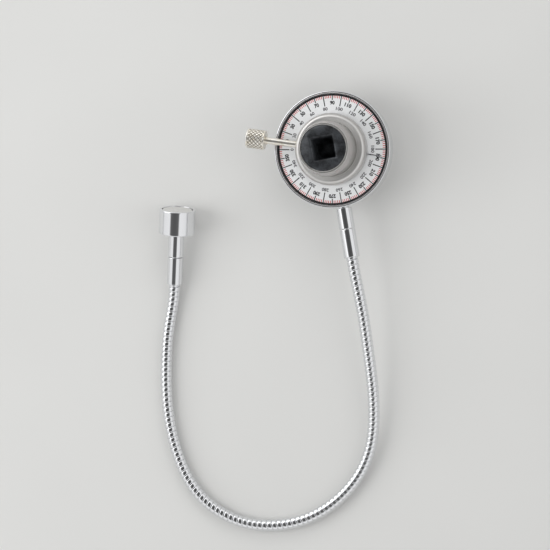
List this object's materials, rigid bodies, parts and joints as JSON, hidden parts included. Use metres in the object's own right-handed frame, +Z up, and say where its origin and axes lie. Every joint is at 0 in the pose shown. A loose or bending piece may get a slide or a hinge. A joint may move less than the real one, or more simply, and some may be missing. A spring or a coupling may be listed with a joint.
{
  "type": "torque angle gauge",
  "caption": "Round graduated dial head on a half inch square drive, with a pointer collar, a knurled thumbscrew, a flexible arm and a pot magnet.",
  "frame": {"origin": "centre of the end face of the male half inch square, on the hub's axis", "axes": "+Z up the hub's axis, from the male square to the female square; +Y away from the side on which the flexible arm leaves the head, in the plane of the bench"},
  "size_m": [0.1469, 0.266, 0.061],
  "materials": {
    "chrome": "polished chrome plate",
    "satin_steel": "fine turned satin",
    "warm_nickel": "plated, slightly warm",
    "black_drive": "black phosphate",
    "silver_dial": "satin silver with printed scale",
    "bearing_bronze": "sintered bronze",
    "spring_steel": "dark spring steel",
    "magnet_nickel": "bright nickel"
  },
  "bodies": {
    "head": {"dial_housing": "chrome", "dial_plate": "silver_dial", "housing_bush": "bearing_bronze", "arm_stud": "chrome", "arm_ferrule": "chrome", "gooseneck_0": "chrome"},
    "hub": {"drive_body": "black_drive", "hub_sleeve": "satin_steel", "thrust_washer": "spring_steel", "retaining_ring": "spring_steel", "sleeve_snap_ring": "spring_steel", "detent_spring": "spring_steel"},
    "ball": {"detent_ball": "magnet_nickel"},
    "pointer": {"pointer_collar": "satin_steel", "pointer_needle": "magnet_nickel"},
    "screw_rod": {"thumbscrew_rod": "warm_nickel"},
    "screw_knob": {"thumbscrew_knob": "warm_nickel"},
    "neck_1": {"gooseneck_1": "chrome"},
    "neck_2": {"gooseneck_2": "chrome"},
    "neck_3": {"gooseneck_3": "chrome"},
    "neck_4": {"gooseneck_4": "chrome"},
    "neck_5": {"gooseneck_5": "chrome"},
    "neck_6": {"gooseneck_6": "chrome"},
    "neck_7": {"gooseneck_7": "chrome"},
    "magnet": {"gooseneck_8": "chrome", "magnet_ferrule": "chrome", "magnet_stud": "chrome", "magnet_cup": "chrome", "magnet_disc": "magnet_nickel"}
  },
  "joints": [
    {"name": "hub_spin", "type": "hinge", "parent": "head", "child": "hub", "pos_m": [0, 0, 0.025], "axis": [0, 0, 1], "continuous": true},
    {"name": "detent_press", "type": "slide", "parent": "hub", "child": "ball", "axis": [0.9848, 0.1736, 0], "range_m": [-0.0006, 0], "stiffness_N_per_m": 400, "springref_m": 0.002, "deforming": ["detent_spring"]},
    {"name": "pointer_set", "type": "hinge", "parent": "hub", "child": "pointer", "pos_m": [0, 0, 0.036], "axis": [0, 0, 1], "continuous": true},
    {"name": "thumbscrew_travel", "type": "slide", "parent": "pointer", "child": "screw_rod", "axis": [-0.9905, 0.1374, 0], "range_m": [0, 0.0014]},
    {"name": "thumbscrew_turn", "type": "hinge", "parent": "screw_rod", "child": "screw_knob", "pos_m": [-0.045, 0.00624, 0.0364], "axis": [-0.9905, 0.1374, 0], "range_deg": [0, 720.2]},
    {"name": "bend_1", "type": "hinge", "parent": "head", "child": "neck_1", "pos_m": [0.01709, -0.09935, 0.02197], "axis": [0.0235, -0.1666, 0.9857], "range_deg": [-20, 20]},
    {"name": "bend_2", "type": "hinge", "parent": "neck_1", "child": "neck_2", "pos_m": [0.02147, -0.14474, 0.01286], "axis": [-0.9989, -0.0467, 0], "range_deg": [-20, 20]},
    {"name": "bend_3", "type": "hinge", "parent": "neck_2", "child": "neck_3", "pos_m": [0.01616, -0.18684, 0.00565], "axis": [0.044, 0.1047, -0.9935], "range_deg": [-20, 12]},
    {"name": "bend_4", "type": "hinge", "parent": "neck_3", "child": "neck_4", "pos_m": [-0.01217, -0.2187, 0.0037], "axis": [-0.5051, 0.863, 0], "range_deg": [-20, 20]},
    {"name": "bend_5", "type": "hinge", "parent": "neck_4", "child": "neck_5", "pos_m": [-0.05707, -0.22641, 0.0037], "axis": [0, 0, 1], "range_deg": [-12, 20]},
    {"name": "bend_6", "type": "hinge", "parent": "neck_5", "child": "neck_6", "pos_m": [-0.09241, -0.20311, 0.0037], "axis": [0.8317, 0.5552, 0], "range_deg": [-20, 20]},
    {"name": "bend_7", "type": "hinge", "parent": "neck_6", "child": "neck_7", "pos_m": [-0.10653, -0.16239, 0.00371], "axis": [0, 0, -1], "range_deg": [-20, 20]},
    {"name": "bend_8", "type": "hinge", "parent": "neck_7", "child": "magnet", "pos_m": [-0.10746, -0.11598, 0.00387], "axis": [0.996, -0.0891, 0], "range_deg": [-20, 20]}
  ],
  "couplings": [
    {"joint": "thumbscrew_turn", "follows": "thumbscrew_travel", "rad_per_m": 8976}
  ]
}
